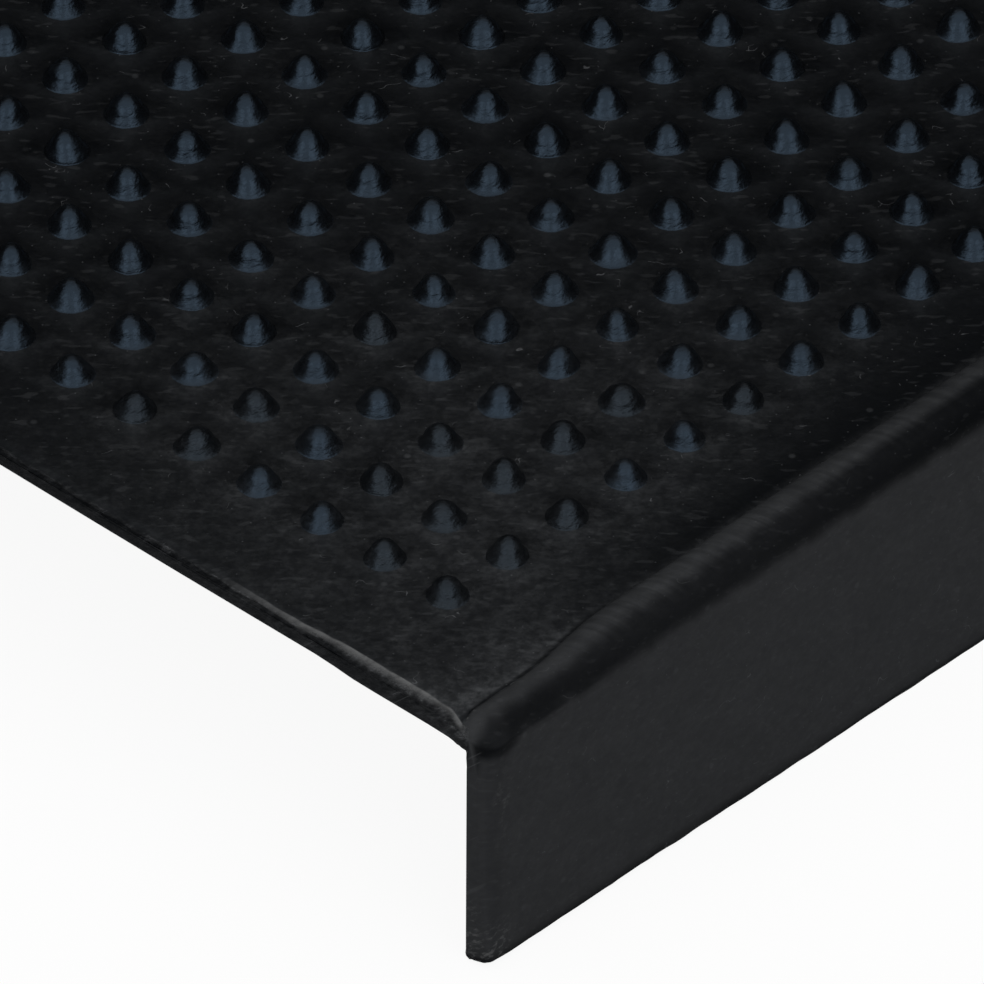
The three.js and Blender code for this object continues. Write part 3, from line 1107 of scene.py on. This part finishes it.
AIM = (LEFT + 32.954, FRONT + 30.758, PLATE_TOP)
CAMERA_DISTANCE = 2618.3
CAMERA_AZIMUTH = 46.921
CAMERA_ELEVATION = 38.377
CAMERA_ROLL = 0.304
CAMERA_LENS = 828.53
SENSOR_WIDTH = 36
VIEW_END = 500
FLOOR_RADIUS = 60.0
FLOOR_SIDES = 96
FLOOR_TONE = (0.92, 0.92, 0.92, 1)
FLOOR_ROUGHNESS, FLOOR_SPECULAR = 0.9, 0.1
FLOOR_GLOW = 0.92
SUN_TURN, SUN_ELEVATION = 30, 32
SUN_STRENGTH, SUN_ANGLE = 0.22, 28

# The softbox, by how far ahead and above a direction points: its length, how wide it is
# on either side where that starts and ends, and its soft edges
BOX_LEVEL = 1.3
ROOM_LEVEL = 0.008
BOX_LENGTH_SPAN = (-0.05, 0.96)
BOX_WIDTH_SPAN, BOX_WIDTHS = (0.0, 0.85), (0.8, 0.22)
BOX_LOW_SPAN = (-0.02, 0.12)
BOX_EDGE = 0.08


def make_floor():
    """A white floor, which keeps a faint shadow where the camera sees it."""
    bpy.ops.mesh.primitive_circle_add(
        vertices=FLOOR_SIDES, radius=FLOOR_RADIUS, fill_type="NGON",
        location=(0, 0, FOOT * METRES)
    )
    floor = bpy.context.object
    floor.name = "floor"
    material = bpy.data.materials.new("white_floor")
    material.use_nodes = True
    tree = material.node_tree
    shader = tree.nodes["Principled BSDF"]
    shader.inputs["Base Color"].default_value = FLOOR_TONE
    shader.inputs["Roughness"].default_value = FLOOR_ROUGHNESS
    shader.inputs["Specular IOR Level"].default_value = FLOOR_SPECULAR
    glow = add_node(tree, "ShaderNodeEmission", {"Color": (1, 1, 1, 1), "Strength": 1.0})
    path = add_node(tree, "ShaderNodeLightPath").outputs
    seen = calculate(tree, "MAXIMUM", path["Is Camera Ray"], path["Is Glossy Ray"])
    seen = calculate(tree, "MAXIMUM", seen, path["Is Transmission Ray"])
    share = multiply(tree, seen, FLOOR_GLOW)
    both = add_node(tree, "ShaderNodeMixShader",
                    {0: share, 1: shader.outputs[0], 2: glow.outputs[0]})
    tree.links.new(both.outputs[0], tree.nodes["Material Output"].inputs["Surface"])
    floor.data.materials.append(material)


def view_direction(azimuth, elevation):
    a, e = math.radians(azimuth), math.radians(elevation)
    return Vector((math.sin(a) * math.cos(e), math.cos(a) * math.cos(e), -math.sin(e)))


def make_sun(name, azimuth):
    """A broad distant lamp that shines along a view direction."""
    data = bpy.data.lights.new(name, "SUN")
    data.energy = SUN_STRENGTH
    data.angle = math.radians(SUN_ANGLE)
    lamp = bpy.data.objects.new(name, data)
    lamp.rotation_mode = "QUATERNION"
    lamp.rotation_quaternion = view_direction(azimuth, SUN_ELEVATION).to_track_quat("-Z", "Y")
    bpy.context.scene.collection.objects.link(lamp)


def along_direction(tree, place, direction):
    node = add_node(tree, "ShaderNodeVectorMath", {0: place, 1: direction},
                    operation="DOT_PRODUCT")
    return node.outputs["Value"]


def make_world():
    """A dark room with one broad softbox from behind the camera to overhead."""
    world = bpy.data.worlds.new("studio")
    world.use_nodes = True
    bpy.context.scene.world = world
    tree = world.node_tree
    place = add_node(tree, "ShaderNodeTexCoord").outputs["Generated"]
    height = parts_of(tree, place)["Z"]
    turn = math.radians(CAMERA_AZIMUTH)
    side = (math.cos(turn), -math.sin(turn), 0)
    ahead = (math.sin(turn), math.cos(turn), 0)
    aside = calculate(tree, "ABSOLUTE", along_direction(tree, place, side))
    forward = along_direction(tree, place, ahead)
    length = map_range(tree, forward, *BOX_LENGTH_SPAN, 1.0, 0.0)
    half = map_range(tree, forward, *BOX_WIDTH_SPAN, *BOX_WIDTHS)
    above = ramp(tree, height, *BOX_LOW_SPAN)
    box = ramp(tree, calculate(tree, "SUBTRACT", aside, half), BOX_EDGE, -BOX_EDGE)
    box = multiply(tree, box, length, above)
    level = calculate(tree, "MULTIPLY_ADD", box, BOX_LEVEL, ROOM_LEVEL)
    tree.links.new(level, tree.nodes["Background"].inputs["Color"])


def make_lights():
    make_sun("left_softbox", CAMERA_AZIMUTH + SUN_TURN)
    make_sun("right_softbox", CAMERA_AZIMUTH - SUN_TURN)
    make_world()


def make_camera():
    """The photograph's view of the corner, from far away through a long lens."""
    data = bpy.data.cameras.new("camera")
    data.lens = CAMERA_LENS
    data.sensor_width = SENSOR_WIDTH
    data.clip_end = VIEW_END
    camera = bpy.data.objects.new("camera", data)
    forward = view_direction(CAMERA_AZIMUTH, CAMERA_ELEVATION)
    camera.location = (Vector(AIM) - forward * CAMERA_DISTANCE) * METRES
    camera.rotation_mode = "QUATERNION"
    tilt = Quaternion((1, 0, 0), math.radians(90 - CAMERA_ELEVATION))
    turn = Quaternion((0, 0, 1), math.radians(-CAMERA_AZIMUTH))
    roll = Quaternion((0, 0, 1), math.radians(CAMERA_ROLL))
    camera.rotation_quaternion = turn @ tilt @ roll
    bpy.context.scene.collection.objects.link(camera)
    bpy.context.scene.camera = camera


make_camera()
make_lights()
make_floor()
mat = make_mat(make_surfaces())
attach(mat, "root")
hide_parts("tread_mat")
bpy.context.scene.view_settings.view_transform = "Standard"
